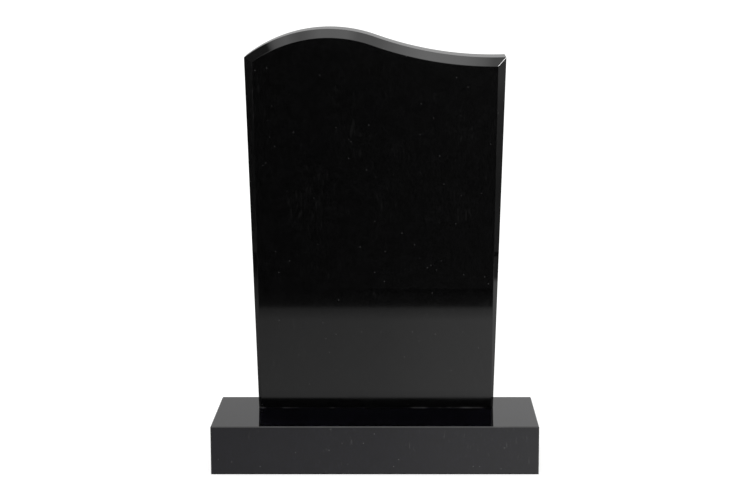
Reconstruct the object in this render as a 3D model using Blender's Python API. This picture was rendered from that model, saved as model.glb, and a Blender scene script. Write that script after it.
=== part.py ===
# Polished black granite headstone: a wave-topped tablet bedded on a low plinth.
# All lengths are metres. The front faces -Y, +Z is up, and the origin is under the plinth's middle.

import math

import bmesh
import bpy

# Tablet
tablet_thickness = 0.100
foot_width = 0.557
shoulder_width = 0.608
shoulder_height = 0.829  # from the foot to where the straight sides end
crest_rise = 0.0655  # the crest above the shoulders
crest_offset = 0.108  # the crest lies this far left of the middle
hollow_offset = 0.274  # the hollow is level this far right of the middle
top_fall = 0.003  # the top runs down to the front, so that rain drains off
chamfer = 0.0195  # along the top, and where the sides begin
foot_chamfer = 0.0055  # the side chamfers narrow to this at the foot
tablet_arris = 0.0015  # broken edge round the back and the foot
crown_steps = 40
hollow_steps = 30

# Plinth
plinth_height = 0.1125
front_ledge = 0.172  # plinth showing in front of the tablet
side_ledge = 0.0975  # plinth showing on each side of the tablet's foot
back_ledge = 0.008
plinth_arris = 0.002

# Bed joint between the two stones
bed_gap = 0.0003

# What follows from the sizes above
plinth_width = foot_width + 2 * side_ledge
plinth_depth = front_ledge + tablet_thickness + back_ledge
tablet_front = front_ledge - plinth_depth / 2
tablet_back = tablet_front + tablet_thickness
tablet_foot = plinth_height + bed_gap

# The wave is a round crown that runs tangent into a round hollow.
crest_height = shoulder_height + crest_rise
crown_reach = shoulder_width / 2 - crest_offset
crown_radius = (crown_reach**2 + crest_rise**2) / (2 * crest_rise)
wave_run = crest_offset + hollow_offset
radii_sum = (wave_run**2 + crest_rise**2) / (2 * crest_rise)
hollow_radius = radii_sum - crown_radius
crown_centre_height = crest_height - crown_radius
hollow_centre_height = shoulder_height + hollow_radius
turn_angle = math.asin(wave_run / radii_sum)  # from upright, where crown meets hollow


def clear_scene():
    for obj in list(bpy.data.objects):
        bpy.data.objects.remove(obj)


def crown_point(angle, inset):
    """A point of the crown, at an angle from upright, moved into the stone by the inset."""
    radius = crown_radius - inset
    return -crest_offset + radius * math.sin(angle), crown_centre_height + radius * math.cos(angle)


def hollow_point(angle, inset):
    radius = hollow_radius + inset
    return hollow_offset - radius * math.sin(angle), hollow_centre_height - radius * math.cos(angle)


def crown_angle(x, inset):
    return math.asin((x + crest_offset) / (crown_radius - inset))


def hollow_angle(x, inset):
    return math.asin((hollow_offset - x) / (hollow_radius + inset))


def side_x(height, foot_inset, shoulder_inset):
    """Half the tablet's width at a height, less an inset that grows from foot to shoulder."""
    share = height / shoulder_height
    foot_x = foot_width / 2 - foot_inset
    shoulder_x = shoulder_width / 2 - shoulder_inset
    return foot_x + (shoulder_x - foot_x) * share


def corners(foot_inset, inset, rise):
    """Where the straight sides meet the wave: (left x, left height, right x, right height)."""
    left_height = right_height = shoulder_height
    for _ in range(12):
        left_x = -side_x(left_height, foot_inset, inset)
        left_height = crown_point(crown_angle(left_x, inset), inset)[1] + rise
        right_x = side_x(right_height, foot_inset, inset)
        right_height = hollow_point(hollow_angle(right_x, inset), inset)[1] + rise
    return left_x, left_height, right_x, right_height


def outline(foot_inset, inset, rise):
    """The tablet's outline as (x, height), from the left foot over the top to the right foot."""
    inner = corners(foot_chamfer, chamfer, 0)
    crown_start = crown_angle(inner[0], chamfer)
    hollow_end = hollow_angle(inner[2], chamfer)
    left_x, left_height, right_x, right_height = corners(foot_inset, inset, rise)
    points = [(-side_x(0, foot_inset, inset), 0), (left_x, left_height)]
    for step in range(1, crown_steps + 1):
        angle = crown_start + (turn_angle - crown_start) * step / crown_steps
        x, height = crown_point(angle, inset)
        points.append((x, height + rise))
    for step in range(1, hollow_steps):
        angle = turn_angle + (hollow_end - turn_angle) * step / hollow_steps
        x, height = hollow_point(angle, inset)
        points.append((x, height + rise))
    points.append((right_x, right_height))
    points.append((side_x(0, foot_inset, inset), 0))
    return points


def ring(bm, foot_inset, inset, rise, foot_y, y):
    """The outline as vertices. Only its two foot points lie at foot_y."""
    points = outline(foot_inset, inset, rise)
    depths = [foot_y] + [y] * (len(points) - 2) + [foot_y]
    return [bm.verts.new((x, depth, tablet_foot + height)) for (x, height), depth in zip(points, depths)]


def tablet_mesh():
    bm = bmesh.new()
    arris_y = tablet_back - tablet_arris
    rings = [
        ring(bm, foot_chamfer, chamfer, 0, tablet_front, tablet_front),
        ring(bm, 0, 0, 0, tablet_front + foot_chamfer, tablet_front + chamfer),
        ring(bm, 0, 0, top_fall, arris_y, arris_y),
        ring(bm, tablet_arris, tablet_arris, top_fall, tablet_back, tablet_back),
    ]
    for front, behind in zip(rings, rings[1:]):
        for n in range(len(front) - 1):
            bm.faces.new((front[n], front[n + 1], behind[n + 1], behind[n]))
    bm.faces.new(rings[0])
    bm.faces.new(rings[-1])
    foot = bm.faces.new([r[0] for r in rings] + [r[-1] for r in reversed(rings)])
    bmesh.ops.bevel(
        bm, geom=list(foot.edges), offset=tablet_arris, segments=1, profile=0.5, affect="EDGES", material=-1
    )
    return bm


def plinth_mesh():
    bm = bmesh.new()
    bmesh.ops.create_cube(bm, size=1)
    bmesh.ops.scale(bm, vec=(plinth_width, plinth_depth, plinth_height), verts=bm.verts)
    bmesh.ops.translate(bm, vec=(0, 0, plinth_height / 2), verts=bm.verts)
    bmesh.ops.bevel(
        bm, geom=list(bm.edges), offset=plinth_arris, segments=1, profile=0.5, affect="EDGES", material=-1
    )
    return bm


def granite(name):
    """Black granite, polished."""
    material = bpy.data.materials.new(name)
    material.use_nodes = True
    shader = material.node_tree.nodes["Principled BSDF"]
    shader.inputs["Base Color"].default_value = (0.006, 0.006, 0.007, 1)
    shader.inputs["Roughness"].default_value = 0.06
    shader.inputs["Metallic"].default_value = 0
    return material


def add_stone(name, bm):
    bmesh.ops.recalc_face_normals(bm, faces=bm.faces)
    mesh = bpy.data.meshes.new(name)
    bm.to_mesh(mesh)
    bm.free()
    mesh.shade_smooth()
    mesh.set_sharp_from_angle(angle=math.radians(20))
    mesh.materials.append(granite(name + "_granite"))
    stone = bpy.data.objects.new(name, mesh)
    bpy.context.scene.collection.objects.link(stone)


clear_scene()
add_stone("plinth", plinth_mesh())
add_stone("tablet", tablet_mesh())
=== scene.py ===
import math

import bmesh
import bpy
from mathutils import Matrix, Vector


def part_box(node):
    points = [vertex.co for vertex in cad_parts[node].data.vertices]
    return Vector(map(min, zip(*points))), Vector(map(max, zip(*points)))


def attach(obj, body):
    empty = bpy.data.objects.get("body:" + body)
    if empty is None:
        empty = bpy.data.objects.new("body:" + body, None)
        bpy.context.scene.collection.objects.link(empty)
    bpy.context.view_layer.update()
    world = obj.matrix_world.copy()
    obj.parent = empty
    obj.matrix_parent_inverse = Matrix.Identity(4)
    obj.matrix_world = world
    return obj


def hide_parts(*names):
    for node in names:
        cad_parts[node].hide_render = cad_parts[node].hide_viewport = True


# Metres throughout. The front faces -Y, +Z is up, and the plinth stands on Z = 0.
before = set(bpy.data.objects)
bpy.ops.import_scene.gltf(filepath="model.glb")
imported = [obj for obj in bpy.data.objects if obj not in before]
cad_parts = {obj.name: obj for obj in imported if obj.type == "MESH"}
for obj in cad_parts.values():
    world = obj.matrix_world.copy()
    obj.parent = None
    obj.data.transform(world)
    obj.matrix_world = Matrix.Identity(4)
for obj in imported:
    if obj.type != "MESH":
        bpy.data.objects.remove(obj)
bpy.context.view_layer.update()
print("frame loaded:", ", ".join(sorted(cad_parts)))

# A stone's material slots, in order. Only the tablet has the last one.
polished, arris, sawn, bed = 0, 1, 2, 3

onPlane = 2e-5  # a point this near a plane lies on it
alike = 0.9999  # two directions with at least this cosine are the same


# Mesh helpers

def cutEdges(bm, edges, width, slot, segments=1):
    # takes the edges off and gives the new faces a material slot
    made = bmesh.ops.bevel(
        bm, geom=edges, offset=width, offset_type="OFFSET", segments=segments,
        profile=0.5, affect="EDGES", clamp_overlap=False, material=-1,
    )
    for face in made["faces"]:
        face.material_index = slot
    return set(made["faces"])


def sharpEdges(bm, angle, apartFrom):
    # the edges that turn by more than an angle, apart from those of some faces
    found = []
    for edge in bm.edges:
        if apartFrom.intersection(edge.link_faces):
            continue
        if edge.calc_face_angle() > angle:
            found.append(edge)
    return found


def edgesOf(bm, faces):
    wanted = set(faces)
    return [edge for edge in bm.edges if wanted.intersection(edge.link_faces)]


def facing(bm, direction):
    # the faces that look straight along a direction
    return [face for face in bm.faces if face.normal.dot(Vector(direction)) > alike]


def makeStone(name, bm, materials):
    for face in bm.faces:
        face.smooth = face.material_index != arris
    mesh = bpy.data.meshes.new(name)
    bm.to_mesh(mesh)
    bm.free()
    for material in materials:
        mesh.materials.append(material)
    stone = bpy.data.objects.new(name, mesh)
    bpy.context.scene.collection.objects.link(stone)
    flat = stone.modifiers.new("flatFaces", "WEIGHTED_NORMAL")
    flat.mode = "FACE_AREA"
    flat.weight = 100
    flat.keep_sharp = True
    return stone


# Node helpers

def addNode(tree, kind, **settings):
    node = tree.nodes.new(kind)
    for setting, value in settings.items():
        setattr(node, setting, value)
    return node


def feed(tree, target, source):
    # the source is another node's output, or a plain value
    if isinstance(source, bpy.types.NodeSocket):
        tree.links.new(source, target)
    else:
        target.default_value = source


def feedAll(tree, node, sources):
    for label, source in sources.items():
        feed(tree, node.inputs[label], source)
    return node.outputs


def mathNode(tree, operation, first, second=0.0):
    node = addNode(tree, "ShaderNodeMath", operation=operation)
    feed(tree, node.inputs[0], first)
    feed(tree, node.inputs[1], second)
    return node.outputs[0]


def rangeNode(tree, value, given, wanted=(0.0, 1.0)):
    # runs smoothly through the wanted range while the value runs through the given one
    node = addNode(tree, "ShaderNodeMapRange", interpolation_type="SMOOTHSTEP")
    ends = {"From Min": given[0], "From Max": given[1], "To Min": wanted[0], "To Max": wanted[1]}
    return feedAll(tree, node, {"Value": value, **ends})["Result"]


def mixColour(tree, share, first, second):
    node = addNode(tree, "ShaderNodeMix", data_type="RGBA")
    return feedAll(tree, node, {"Factor": share, "A": first, "B": second})["Result"]


def noiseNode(tree, vector, scale, detail=2.0, roughness=0.5):
    node = addNode(tree, "ShaderNodeTexNoise")
    sources = {"Vector": vector, "Scale": scale, "Detail": detail, "Roughness": roughness}
    return feedAll(tree, node, sources)["Fac"]


def cellNode(tree, vector, scale):
    node = addNode(tree, "ShaderNodeTexVoronoi", feature="F1")
    return feedAll(tree, node, {"Vector": vector, "Scale": scale})


def mappingNode(tree, vector, **moves):
    node = addNode(tree, "ShaderNodeMapping")
    return feedAll(tree, node, {"Vector": vector, **moves})["Vector"]


def oneChannel(tree, colour, channel):
    split = addNode(tree, "ShaderNodeSeparateColor")
    return feedAll(tree, split, {"Color": colour})[channel]


def bumpFrom(tree, shader, height):
    # the height is in metres
    bump = addNode(tree, "ShaderNodeBump")
    normal = feedAll(tree, bump, {"Strength": 1.0, "Distance": 1.0, "Height": height})["Normal"]
    feed(tree, shader.inputs["Normal"], normal)


def newGroup(name, inputs, outputs):
    # a node group that reads a place and some values, and puts values out
    tree = bpy.data.node_groups.new(name, "ShaderNodeTree")
    tree.interface.new_socket("Vector", in_out="INPUT", socket_type="NodeSocketVector")
    for label in inputs:
        tree.interface.new_socket(label, in_out="INPUT", socket_type="NodeSocketFloat")
    for label in outputs:
        tree.interface.new_socket(label, in_out="OUTPUT", socket_type="NodeSocketFloat")
    return tree, addNode(tree, "NodeGroupInput").outputs, addNode(tree, "NodeGroupOutput").inputs


def useGroup(tree, group, **sources):
    return feedAll(tree, addNode(tree, "ShaderNodeGroup", node_tree=group), sources)


def newMaterial(name):
    material = bpy.data.materials.new(name)
    material.use_nodes = True
    return material, material.node_tree


def opaque(colour):
    return (*colour, 1.0)


def grey(level):
    return opaque((level, level, level))


# Granite: what both stones share. A stone's own dictionary adds to this.
granite = {
    "crystal": 0.0011,
    "patch": 0.03,  # across a paler or darker patch
    "fleckSize": 0.0055,
    "cloud": 0.2,  # across a patch of haze
    "wave": 0.3,  # across a swell left by the polishing heads
    "ior": 1.54,
    "gloss": 0.015,  # roughness of the polish where it is clean
    "haze": 0.024,  # and where it is hazy
    "swell": 2e-6,  # height of the swells
    "relief": 1e-7,  # and of the crystals
    "dustTone": (0.06, 0.06, 0.06),
    "arrisDark": (0.002, 0.002, 0.002),
    "arrisPale": (0.012, 0.012, 0.012),
    "arrisWornAndGlint": (0.02, 0.02, 0.02),
    "arrisGloss": 0.07,
    "arrisHaze": 0.12,
    "arrisRelief": 1e-6,
    "sawnDark": (0.03, 0.03, 0.031),
    "sawnPale": (0.16, 0.16, 0.158),
    "sawnWear": 0.5,
    "sawnGloss": 0.5,
    "sawnHaze": 0.75,
    "sawnRelief": 8e-5,
    "sawSpacing": 0.011,
    "sawWander": 1.6,
    "sawDetail": 3,
    "sawFaint": 0.15,  # share of the dark tone in the faintest saw lines
    "sawTone": 0.5,  # and in the strongest
    "sawFull": 0.8,  # the haze that makes them strongest
    "sawDepth": 6e-5,
}

# The mix of crystals. A range of a texture runs from none of a thing to all of it.
crystalMix = {
    "grainContrast": 2.2,
    "grainShare": 0.6,
    "needleShare": 0.4,
    "needleRange": (0.72, 0.95),
    "needleTurn": (0.5, 0.9, 0.3),
    "needleStretch": (1, 1, 0.35),
    "patchDetail": 4,
    "patchRange": (0.3, 0.7),
    "patchTone": (0.65, 1.35),  # from a dark patch to a pale one
    "fleckRange": (0.3, 0.12),  # distance from a fleck's middle, as a share of its size
}

# Patterns of the film on a polish, each so many times finer than a cloud
filmPatterns = {
    "Haze": {"finer": 1.0, "detail": 6, "roughness": 0.6, "range": (0.35, 0.7)},
    "Dust": {"finer": 9.0, "detail": 8, "roughness": 0.75, "range": (0.5, 0.75)},
    # worn pale spots on the arrises; on the tablet's bed the same spots are painted glints
    "WearAndGlint": {"finer": 4.0, "detail": 5, "roughness": 0.5, "range": (0.5, 0.72)},
    "marks": {
        "finer": 40.0, "detail": 2, "roughness": 0.5, "range": (0.6, 0.72),
        "turn": (0, 0.9, 0), "stretch": (1, 1, 0.22),
    },
    "handled": {"finer": 3.0, "detail": 2, "roughness": 0.5, "range": (0.5, 0.66)},
}
swellDetail = 1
waveRadians = 20  # the wave texture turns this far in a metre at a scale of 1


def crystalGroup(mix):
    # black granite seen close: dark crystals, each with its own tone, and a few pale flecks
    tree, given, out = newGroup(
        "crystals", ("Size", "Patch", "Flecks", "FleckSize"), ("Tone", "Fleck", "Relief")
    )
    place = given["Vector"]
    perCrystal = mathNode(tree, "DIVIDE", 1.0, given["Size"])
    perPatch = mathNode(tree, "DIVIDE", 1.0, given["Patch"])
    perFleck = mathNode(tree, "DIVIDE", 1.0, given["FleckSize"])
    along = mappingNode(tree, place, Rotation=mix["needleTurn"], Scale=mix["needleStretch"])

    crystal = oneChannel(tree, cellNode(tree, place, perCrystal)["Color"], "Red")
    grains = mathNode(tree, "POWER", crystal, mix["grainContrast"])
    lath = oneChannel(tree, cellNode(tree, along, perCrystal)["Color"], "Green")
    needles = rangeNode(tree, lath, mix["needleRange"])
    grainTone = mathNode(tree, "MULTIPLY", grains, mix["grainShare"])
    needleTone = mathNode(tree, "MULTIPLY", needles, mix["needleShare"])
    clouds = noiseNode(tree, place, perPatch, mix["patchDetail"])
    patches = rangeNode(tree, clouds, mix["patchRange"], mix["patchTone"])
    tone = mathNode(tree, "ADD", grainTone, needleTone)
    feed(tree, out["Tone"], mathNode(tree, "MULTIPLY", tone, patches))

    specks = cellNode(tree, place, perFleck)
    common = mathNode(tree, "SUBTRACT", 1.0, given["Flecks"])
    chosen = mathNode(tree, "GREATER_THAN", oneChannel(tree, specks["Color"], "Blue"), common)
    small = rangeNode(tree, specks["Distance"], mix["fleckRange"])
    feed(tree, out["Fleck"], mathNode(tree, "MULTIPLY", chosen, small))
    feed(tree, out["Relief"], grains)
    return tree


def filmPattern(tree, given, vector, pattern):
    scale = mathNode(tree, "DIVIDE", pattern["finer"], given["Cloud"])
    noise = noiseNode(tree, vector, scale, pattern["detail"], pattern["roughness"])
    return rangeNode(tree, noise, pattern["range"])


def filmGroup(patterns):
    # what handling leaves on a polish: cloudy haze, dust, short scuffs and worn spots along the edges,
    # over the slow wave of the polishing heads. On the tablet's bed the worn spots also place painted
    # glints along the joint.
    tree, given, out = newGroup("film", ("Cloud", "Wave"), ("Haze", "Dust", "Scuffs", "WearAndGlint", "Swell"))
    place = given["Vector"]
    for label in ("Haze", "Dust", "WearAndGlint"):
        feed(tree, out[label], filmPattern(tree, given, place, patterns[label]))
    strokes = patterns["marks"]
    slant = mappingNode(tree, place, Rotation=strokes["turn"], Scale=strokes["stretch"])
    marks = filmPattern(tree, given, slant, strokes)
    handled = filmPattern(tree, given, place, patterns["handled"])
    feed(tree, out["Scuffs"], mathNode(tree, "MULTIPLY", marks, handled))
    perWave = mathNode(tree, "DIVIDE", 1.0, given["Wave"])
    feed(tree, out["Swell"], noiseNode(tree, place, perWave, swellDetail))
    return tree


def placeOn(tree, look):
    # the stone's own coordinates, moved on so that no two stones show the same grain
    coordinates = addNode(tree, "ShaderNodeTexCoord").outputs["Object"]
    return mappingNode(tree, coordinates, Location=look["grainPlace"])


def startGranite(name, look):
    material, tree = newMaterial(name)
    shader = tree.nodes["Principled BSDF"]
    shader.inputs["IOR"].default_value = look["ior"]
    place = placeOn(tree, look)
    grain = useGroup(
        tree, crystals, Vector=place, Size=look["crystal"], Patch=look["patch"],
        Flecks=look["flecks"], FleckSize=look["fleckSize"],
    )
    coat = useGroup(tree, film, Vector=place, Cloud=look["cloud"], Wave=look["wave"])
    return material, tree, shader, grain, coat


def polishedGranite(name, look):
    material, tree, shader, grain, coat = startGranite(name, look)
    colour = mixColour(tree, grain["Tone"], opaque(look["dark"]), opaque(look["pale"]))
    colour = mixColour(tree, grain["Fleck"], colour, opaque(look["fleck"]))
    dusty = mathNode(tree, "MULTIPLY", coat["Dust"], look["dust"])
    scuffed = mathNode(tree, "MULTIPLY", coat["Scuffs"], look["scuffs"])
    touched = mathNode(tree, "MAXIMUM", dusty, scuffed)
    feed(tree, shader.inputs["Base Color"], mixColour(tree, touched, colour, opaque(look["dustTone"])))
    gloss = rangeNode(tree, coat["Haze"], (0.0, 1.0), (look["gloss"], look["haze"]))
    feed(tree, shader.inputs["Roughness"], gloss)
    swell = mathNode(tree, "MULTIPLY", coat["Swell"], look["swell"])
    relief = mathNode(tree, "MULTIPLY", grain["Relief"], look["relief"])
    bumpFrom(tree, shader, mathNode(tree, "ADD", swell, relief))
    return material


def arrisGranite(name, look):
    # an edge taken off by hand and buffed, less bright than the polish and worn pale here and there. On
    # the tablet's bed the pale spots are painted glints along the joint.
    material, tree, shader, grain, coat = startGranite(name, look)
    colour = mixColour(tree, grain["Tone"], opaque(look["arrisDark"]), opaque(look["arrisPale"]))
    colour = mixColour(tree, coat["WearAndGlint"], colour, opaque(look["arrisWornAndGlint"]))
    feed(tree, shader.inputs["Base Color"], colour)
    gloss = rangeNode(tree, coat["Haze"], (0.0, 1.0), (look["arrisGloss"], look["arrisHaze"]))
    feed(tree, shader.inputs["Roughness"], gloss)
    bumpFrom(tree, shader, mathNode(tree, "MULTIPLY", grain["Relief"], look["arrisRelief"]))
    return material


def sawnGranite(name, look):
    # a face left from the saw: paler, dull, and lined by the blade
    material, tree, shader, grain, coat = startGranite(name, look)
    wave = addNode(
        tree, "ShaderNodeTexWave", wave_type="BANDS", bands_direction="Z", wave_profile="SIN"
    )
    lines = feedAll(tree, wave, {
        "Vector": placeOn(tree, look),
        "Scale": 2 * math.pi / waveRadians / look["sawSpacing"],
        "Distortion": look["sawWander"],
        "Detail": look["sawDetail"],
    })["Fac"]
    dark, pale = opaque(look["sawnDark"]), opaque(look["sawnPale"])
    wear = mathNode(tree, "MULTIPLY", coat["Haze"], look["sawnWear"])
    colour = mixColour(tree, wear, mixColour(tree, grain["Tone"], dark, pale), pale)
    strength = rangeNode(tree, coat["Haze"], (0.0, look["sawFull"]), (look["sawFaint"], look["sawTone"]))
    lined = mathNode(tree, "MULTIPLY", lines, strength)
    feed(tree, shader.inputs["Base Color"], mixColour(tree, lined, colour, dark))
    gloss = rangeNode(tree, grain["Relief"], (0.0, 1.0), (look["sawnGloss"], look["sawnHaze"]))
    feed(tree, shader.inputs["Roughness"], gloss)
    cuts = mathNode(tree, "MULTIPLY", lines, look["sawDepth"])
    pits = mathNode(tree, "MULTIPLY", grain["Relief"], look["sawnRelief"])
    bumpFrom(tree, shader, mathNode(tree, "SUBTRACT", pits, cuts))
    return material


def finishes(name, values):
    # one material for each slot. Only a stone that stands on another has the bed, whose pale worn spots
    # are brightened into painted glints along the joint.
    look = {**granite, **values}
    made = [
        polishedGranite(name + "Polish", look),
        arrisGranite(name + "Arris", look),
        sawnGranite(name + "Sawn", look),
    ]
    if "bedWornAndGlint" in look:
        # the bed's worn spots are bright enough to be painted glints along the joint
        made.append(arrisGranite(name + "BedGlint", {**look, "arrisWornAndGlint": look["bedWornAndGlint"]}))
    return made


crystals = crystalGroup(crystalMix)
film = filmGroup(filmPatterns)
print("shared finishes made")

# Tablet
tablet = {
    "footWidth": 0.557,
    "shoulderWidth": 0.608,
    "shoulderHeight": 0.829,  # from the foot to where the straight sides end
    "crestRise": 0.0655,
    "crestOffset": 0.108,  # the crest lies this far left of the middle
    "hollowOffset": 0.274,  # the hollow is level this far right of the middle
    "topFall": 0.003,  # the top runs down this far to the front
    "chamfer": 0.0195,
    "footChamfer": 0.0055,  # the side chamfers narrow to this at the foot
    "crownSteps": 96,
    "hollowSteps": 64,
    "softArris": 0.0015,  # round the back and the foot
    "softSegments": 3,
    "crispArris": 0.0004,
    "sharpAngle": math.radians(20),
    "grainPlace": (0.0, 0.0, 0.0),
    "dark": (0.0012, 0.0012, 0.0012),
    "pale": (0.005, 0.005, 0.0052),
    "flecks": 0.012,
    "fleck": (0.045, 0.045, 0.045),
    "dust": 0.01,
    "scuffs": 0.07,
    # pale worn spots on the foot's front arris, bright enough to be painted glints along the joint
    "bedWornAndGlint": (0.2, 0.2, 0.2),
}


def spinArc(bm, start, centreX, centreZ, turn, steps):
    # an arc from a vertex, round a centre. Returns its last vertex.
    made = bmesh.ops.spin(
        bm, geom=[start], cent=(centreX, start.co.y, centreZ), axis=(0, 1, 0), dvec=(0, 0, 0),
        angle=turn, steps=steps, use_merge=False, use_duplicate=False,
    )
    return next(item for item in made["geom_last"] if isinstance(item, bmesh.types.BMVert))


def tabletOutline(bm, size, front, foot, crest):
    # feet and shoulders as vertices, with a round crown that runs tangent into a round hollow
    footHalf = size["footWidth"] / 2
    shoulderHalf = size["shoulderWidth"] / 2
    rise = size["crestRise"]
    reach = shoulderHalf - size["crestOffset"]
    run = size["crestOffset"] + size["hollowOffset"]
    crownRadius = (reach**2 + rise**2) / (2 * rise)
    bothRadii = (run**2 + rise**2) / (2 * rise)
    hollowRadius = bothRadii - crownRadius
    crownStart = -math.asin(reach / crownRadius)
    turn = math.asin(run / bothRadii)  # from upright, where crown meets hollow
    hollowEnd = math.asin((size["hollowOffset"] - shoulderHalf) / hollowRadius)

    leftFoot = bm.verts.new((-footHalf, front, foot))
    leftShoulder = bm.verts.new((-shoulderHalf, front, crest - rise))
    crownEnd = spinArc(
        bm, leftShoulder, -size["crestOffset"], crest - crownRadius,
        turn - crownStart, size["crownSteps"],
    )
    rightShoulder = spinArc(
        bm, crownEnd, size["hollowOffset"], crest - rise + hollowRadius,
        hollowEnd - turn, size["hollowSteps"],
    )
    rightFoot = bm.verts.new((footHalf, front, foot))
    for ends in ((leftFoot, leftShoulder), (rightShoulder, rightFoot), (rightFoot, leftFoot)):
        bm.edges.new(ends)
    bmesh.ops.contextual_create(bm, geom=bm.edges[:])


def cutSideChamfers(bm, size, front, foot):
    # a plane takes each side off at 45 degrees, narrow at the foot and full at the shoulder
    innerFoot = size["footWidth"] / 2 - size["footChamfer"]
    innerShoulder = size["shoulderWidth"] / 2 - size["chamfer"]
    for side in (-1, 1):
        along = Vector((side * (innerShoulder - innerFoot), 0, size["shoulderHeight"]))
        across = Vector((side, 1, 0))
        outward = along.cross(across)
        if outward.y > 0:
            outward.negate()
        bmesh.ops.bisect_plane(
            bm, geom=bm.verts[:] + bm.edges[:] + bm.faces[:], dist=onPlane,
            plane_co=(side * innerFoot, front, foot), plane_no=outward, clear_outer=True,
        )
        bmesh.ops.contextual_create(bm, geom=[edge for edge in bm.edges if edge.is_boundary])


def makeTablet(size):
    low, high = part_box("tablet")
    front, back, foot = low.y, high.y, low.z
    crest = high.z - size["topFall"]
    shoulder = crest - size["crestRise"]
    bm = bmesh.new()
    tabletOutline(bm, size, front, foot, crest)
    behind = bmesh.ops.extrude_face_region(bm, geom=bm.faces[:])
    behind = [item for item in behind["geom"] if isinstance(item, bmesh.types.BMVert)]
    bmesh.ops.translate(bm, vec=(0, back - front, 0), verts=behind)
    bmesh.ops.recalc_face_normals(bm, faces=bm.faces[:])

    topFront = [
        edge for edge in bm.edges
        if all(vert.co.y < front + onPlane and vert.co.z > shoulder - onPlane for vert in edge.verts)
    ]
    cutEdges(bm, topFront, size["chamfer"], polished)
    cutSideChamfers(bm, size, front, foot)
    topBack = [
        vert for vert in bm.verts
        if vert.co.y > back - onPlane and vert.co.z > shoulder - onPlane
    ]
    bmesh.ops.translate(bm, vec=(0, 0, size["topFall"]), verts=topBack)
    bmesh.ops.recalc_face_normals(bm, faces=bm.faces[:])

    plain = facing(bm, (0, 1, 0)) + facing(bm, (0, 0, -1))
    for face in plain:
        face.material_index = sawn
    softened = cutEdges(bm, edgesOf(bm, plain), size["softArris"], sawn, size["softSegments"])
    for face in softened:
        if face.normal.y < -onPlane:
            face.material_index = bed  # the foot's front arris, at the joint, with painted glints
    cutEdges(bm, sharpEdges(bm, size["sharpAngle"], softened), size["crispArris"], arris)
    return makeStone("tabletStone", bm, finishes("tablet", size))


tabletStone = makeTablet(tablet)
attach(tabletStone, "root")
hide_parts("tablet")
print("tablet made")

# Plinth
plinth = {
    "arris": 0.002,
    "grainPlace": (3.1, 1.7, 0.9),
    "dark": (0.0017, 0.0015, 0.0028),
    "pale": (0.0065, 0.006, 0.0105),
    "flecks": 0.015,
    "fleck": (0.07, 0.07, 0.07),
    "dust": 0.03,
    "scuffs": 0.3,
}


def makePlinth(size):
    low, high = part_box("plinth")
    bm = bmesh.new()
    bmesh.ops.create_cube(bm, size=1)
    bmesh.ops.scale(bm, vec=high - low, verts=bm.verts[:])
    bmesh.ops.translate(bm, vec=(low + high) / 2, verts=bm.verts[:])
    for face in facing(bm, (0, 1, 0)) + facing(bm, (0, 0, -1)):
        face.material_index = sawn
    cutEdges(bm, bm.edges[:], size["arris"], arris)
    return makeStone("plinthStone", bm, finishes("plinth", size))


plinthStone = makePlinth(plinth)
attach(plinthStone, "root")
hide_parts("plinth")
print("plinth made")

# Camera, placed where the photograph was taken from
shot = {
    "place": (0.0709, -4.0647, 1.1686),
    "tilt": 0.1634,  # radians below level
    "lens": 85,  # millimetres
    "sensor": 36,
    "imageWidth": 750,  # pixels
    "axisPixel": 405.8,  # the column that the lens looks along
    "farthest": 200,
}


def makeCamera(view):
    data = bpy.data.cameras.new("camera")
    data.lens = view["lens"]
    data.sensor_width = view["sensor"]
    data.shift_x = 0.5 - view["axisPixel"] / view["imageWidth"]
    data.clip_end = view["farthest"]
    camera = bpy.data.objects.new("camera", data)
    camera.location = view["place"]
    camera.rotation_euler = (math.pi / 2 - view["tilt"], 0, 0)
    bpy.context.scene.collection.objects.link(camera)
    bpy.context.scene.camera = camera


makeCamera(shot)

# Studio: a white floor in even light, and cards that show only in reflections
studio = {
    "floorRadius": 90,
    "floorSides": 96,
    "floorTone": 0.5,
    "floorLift": 0.7,  # light that the floor paper gives of its own, so that it stays white
    "contactShadeWidth": 0.0012,  # that light fades over this far up to the plinth, a painted contact shadow round its foot
    "daylight": 1.0,
}

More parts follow.
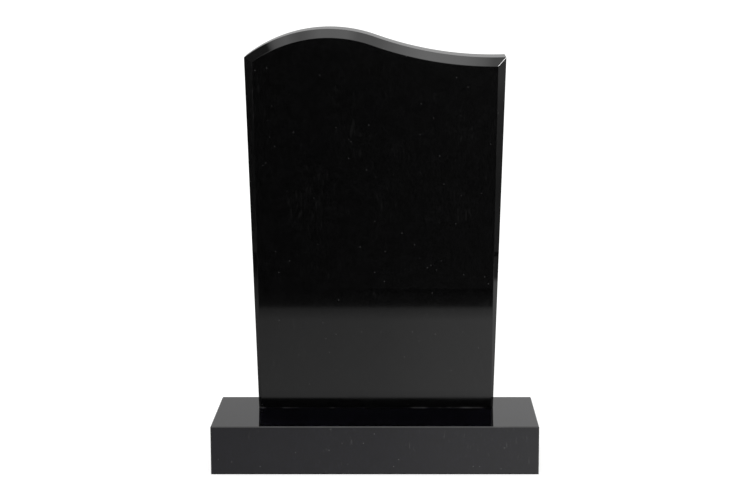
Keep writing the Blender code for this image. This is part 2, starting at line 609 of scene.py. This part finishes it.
# A card lies through its origin, in the plane of its across and up directions.
# A level is (metres along, share of the glow).
cards = {
    "floorGlow": {
        "origin": (0, 0, 0.0005),
        "across": (1, 0, 0),
        "up": (0, 1, 0),
        "glow": 1.42,
        "acrossLevels": (
            (-2.7, 0.0), (-2.3, 0.11), (-1.95, 0.2), (-1.4, 0.24), (-0.92, 0.19), (-0.7, 0.2),
            (-0.42, 0.34), (-0.2, 0.38), (0.0, 0.43), (0.15, 0.52), (0.3, 0.58), (0.4, 0.64), (0.6, 0.6),
            (0.8, 0.5), (0.95, 0.52), (1.1, 0.63), (2.38, 0.58), (2.48, 0.1), (2.9, 0.1),
        ),
        "upLevels": (
            (-2.1, 0.0), (-1.85, 0.06), (-1.79, 0.12), (-1.73, 0.46), (-1.66, 0.6), (-1.54, 0.84),
            (-1.0, 0.9), (-0.3, 1.0), (0.6, 1.0), (1.5, 0.8), (2.9, 0.3),
        ),
        "hole": (0.38, 0.145),  # half its sizes, round the plinth
    },
    "farFloor": {
        "origin": (0, 0, 0.0003),
        "across": (1, 0, 0),
        "up": (0, 1, 0),
        "glow": 0.035,
        "acrossLevels": ((-1.2, 0.1), (-0.45, 0.12), (0.0, 0.6), (0.4, 1.0), (1.2, 1.0)),
        "upLevels": ((-6.5, 0.6), (-3.0, 0.7), (-2.0, 1.0), (-1.8, 1.0)),
    },
    "farFront": {
        "origin": (0, -6.5, 0),
        "across": (1, 0, 0),
        "up": (0, 0, 1),
        "glow": 0.07,
        "acrossLevels": ((-1.2, 0.12), (-0.74, 0.15), (-0.3, 0.28), (0.2, 0.7), (0.5, 1.0), (1.2, 1.0)),
        "upLevels": ((0.0, 0.4), (0.4, 0.4), (0.5, 0.5), (0.6, 0.8), (0.7, 1.0), (1.0, 1.0)),
    },
    "backdrop": {
        "origin": (0, 3, 0),
        "across": (1, 0, 0),
        "up": (0, 0, 1),
        "glow": 0.535,
        "acrossLevels": ((-4.5, 0.2), (-2.5, 0.8), (-0.7, 0.82), (0.6, 0.98), (2.5, 1.0), (4.5, 0.2)),
        "upLevels": ((0.0, 1.0), (1.6, 1.0), (3.0, 0.2)),
    },
    "overhead": {
        "origin": (0, 0, 1.6),
        "across": (1, 0, 0),
        "up": (0, 1, 0),
        "glow": 2.5,
        "acrossLevels": (
            (-1.2, 0.03), (-0.66, 0.05), (-0.64, 0.06), (-0.6, 0.34), (-0.57, 0.48), (-0.52, 0.56),
            (-0.46, 0.63), (-0.4, 0.52), (-0.35, 0.48), (-0.3, 0.54), (-0.2, 0.74), (0.0, 0.77),
            (0.035, 0.69), (0.085, 0.56), (0.219, 0.56), (0.225, 0.65), (0.24, 0.79), (0.258, 0.97),
            (0.285, 0.9), (0.294, 0.77), (0.301, 0.64), (0.308, 0.43), (0.5, 0.4),
        ),
        "upLevels": ((-0.2, 0.0), (-0.12, 1.0), (0.3, 1.0), (0.4, 0.0)),
    },
    "frontLight": {
        "origin": (0, -0.54, 1.6),
        "across": (1, 0, 0),
        "up": (0, 1, 0),
        "glow": 2.0,
        "acrossLevels": ((-1.4, 0.0), (-0.8, 1.0), (-0.3, 0.9), (0.3, 1.0), (0.7, 1.0), (0.85, 0.0)),
        "upLevels": ((-0.25, 0.8), (0.25, 1.0)),
    },
    "highLamp": {
        "origin": (1.723, -0.675, 2.131),
        "across": (0.448, 0.894, 0),
        "up": (-0.537, 0.268, 0.8),
        "glow": 36.0,
        "acrossLevels": ((-0.2, 0.0), (-0.08, 1.0), (0.08, 1.0), (0.2, 0.0)),
        "upLevels": ((-0.2, 0.0), (-0.08, 1.0), (0.08, 1.0), (0.2, 0.0)),
    },
    "ceiling": {
        "origin": (0, 0, 4),
        "across": (1, 0, 0),
        "up": (0, 1, 0),
        "glow": 0.6,
        "acrossLevels": ((-4.0, 0.0), (-2.5, 1.0), (2.5, 1.0), (4.0, 0.0)),
        "upLevels": ((-3.5, 0.0), (-2.0, 1.0), (2.0, 1.0), (3.8, 0.0)),
    },
    "lowCard": {
        "origin": (0, -4.065, 0),
        "across": (1, 0, 0),
        "up": (0, 0, 1),
        "glow": 2.75,
        "acrossLevels": (
            (-1.6, 0.0), (-0.8, 0.58), (-0.6, 0.6), (-0.08, 0.72), (0.5, 1.0), (0.7, 1.0), (1.5, 0.0),
        ),
        "upLevels": ((1.0, 1.0), (1.1165, 1.0), (1.1225, 0.0)),
    },
    "rightWall": {
        "origin": (3, 0, 0),
        "across": (0, 1, 0),
        "up": (0, 0, 1),
        "glow": 0.42,
        "acrossLevels": ((-1.2, 0.2), (-0.7, 1.0), (1.2, 1.0)),
        "upLevels": (
            (0.0, 0.35), (0.1, 0.38), (0.24, 0.33), (0.4, 0.42), (0.5, 0.48), (0.57, 0.55), (0.62, 0.68),
            (0.67, 0.95), (1.6, 1.0),
        ),
    },
    "leftWall": {
        "origin": (-3, 0, 0),
        "across": (0, 1, 0),
        "up": (0, 0, 1),
        "glow": 0.3,
        "acrossLevels": ((-1.2, 0.2), (-0.7, 1.0), (1.2, 1.0)),
        "upLevels": (
            (0.0, 0.28), (0.12, 0.12), (0.24, 0.09), (0.4, 0.07), (0.55, 0.07), (0.66, 0.12), (0.75, 0.15),
            (1.0, 1.0), (1.8, 1.0),
        ),
    },
}


def addMesh(name, bm, material):
    mesh = bpy.data.meshes.new(name)
    bm.to_mesh(mesh)
    bm.free()
    mesh.materials.append(material)
    thing = bpy.data.objects.new(name, mesh)
    bpy.context.scene.collection.objects.link(thing)
    return thing


def levelRamp(tree, share, levels):
    node = addNode(tree, "ShaderNodeValToRGB")
    elements = node.color_ramp.elements
    first, last = levels[0][0], levels[-1][0]
    elements[0].color = grey(levels[0][1])
    elements[1].color = grey(levels[-1][1])
    for spot, level in levels[1:-1]:
        elements.new((spot - first) / (last - first)).color = grey(level)
    return feedAll(tree, node, {"Fac": share})["Color"]


def splitPlace(tree, kind):
    place = addNode(tree, "ShaderNodeTexCoord").outputs[kind]
    return feedAll(tree, addNode(tree, "ShaderNodeSeparateXYZ"), {"Vector": place})


def cardGlow(name, card):
    material, tree = newMaterial(name)
    tree.nodes.clear()
    spot = splitPlace(tree, "UV")
    across = levelRamp(tree, spot["X"], card["acrossLevels"])
    up = levelRamp(tree, spot["Y"], card["upLevels"])
    both = mathNode(tree, "MULTIPLY", across, up)
    strength = mathNode(tree, "MULTIPLY", both, card["glow"])
    light = feedAll(tree, addNode(tree, "ShaderNodeEmission"), {"Strength": strength})["Emission"]
    feedAll(tree, addNode(tree, "ShaderNodeOutputMaterial"), {"Surface": light})
    return material


def cutHole(bm, halfX, halfY):
    for x, y in ((halfX, 0), (-halfX, 0), (0, halfY), (0, -halfY)):
        bmesh.ops.bisect_plane(
            bm, geom=bm.verts[:] + bm.edges[:] + bm.faces[:], plane_co=(x, y, 0), plane_no=(x, y, 0)
        )
    inside = []
    for face in bm.faces:
        middle = face.calc_center_median()
        if abs(middle.x) < halfX and abs(middle.y) < halfY:
            inside.append(face)
    bmesh.ops.delete(bm, geom=inside, context="FACES")


def makeCard(name, card):
    # a glowing rectangle that only shows in reflections
    across, up = Vector(card["across"]), Vector(card["up"])
    low = Vector((card["acrossLevels"][0][0], card["upLevels"][0][0]))
    high = Vector((card["acrossLevels"][-1][0], card["upLevels"][-1][0]))
    size, middle = high - low, (low + high) / 2
    turn = Matrix((across * size.x, up * size.y, across.cross(up))).transposed().to_4x4()
    centre = Vector(card["origin"]) + across * middle.x + up * middle.y
    bm = bmesh.new()
    bm.loops.layers.uv.new("UVMap")
    # a square metre, stretched and placed by the matrix
    bmesh.ops.create_grid(
        bm, x_segments=1, y_segments=1, size=0.5, calc_uvs=True, matrix=Matrix.Translation(centre) @ turn
    )
    if "hole" in card:
        cutHole(bm, *card["hole"])
    thing = addMesh(name, bm, cardGlow(name, card))
    thing.visible_camera = False
    thing.visible_diffuse = False
    thing.visible_transmission = False
    thing.visible_shadow = False


def contactShadeMask(tree, fade):
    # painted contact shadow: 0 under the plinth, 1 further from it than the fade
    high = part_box("plinth")[1]
    spot = splitPlace(tree, "Object")
    distances = []
    for axis, edge in (("X", high.x), ("Y", high.y)):
        away = mathNode(tree, "ABSOLUTE", spot[axis])
        distances.append(mathNode(tree, "SUBTRACT", away, edge))
    return rangeNode(tree, mathNode(tree, "MAXIMUM", *distances), (0.0, fade))


def makeFloor():
    material, tree = newMaterial("floorPaper")
    feedAll(tree, tree.nodes["Principled BSDF"], {
        "Base Color": grey(studio["floorTone"]),
        "Roughness": 1.0,
        "Specular IOR Level": 0.0,
        "Emission Strength": studio["floorLift"],
        # the floor's own light fades to nothing at the plinth's foot, a painted contact shadow
        "Emission Color": contactShadeMask(tree, studio["contactShadeWidth"]),
    })
    bm = bmesh.new()
    bmesh.ops.create_circle(
        bm, cap_ends=True, segments=studio["floorSides"], radius=studio["floorRadius"]
    )
    floor = addMesh("floor", bm, material)
    floor.visible_glossy = False


def makeDaylight():
    world = bpy.data.worlds.new("daylight")
    world.use_nodes = True
    sky = world.node_tree.nodes["Background"]
    feedAll(world.node_tree, sky, {"Color": grey(1.0), "Strength": studio["daylight"]})
    world.cycles_visibility.glossy = False
    bpy.context.scene.world = world


makeFloor()
makeDaylight()
for cardName, cardValues in cards.items():
    makeCard(cardName, cardValues)
bpy.context.scene.view_settings.view_transform = "Standard"
print("studio set")
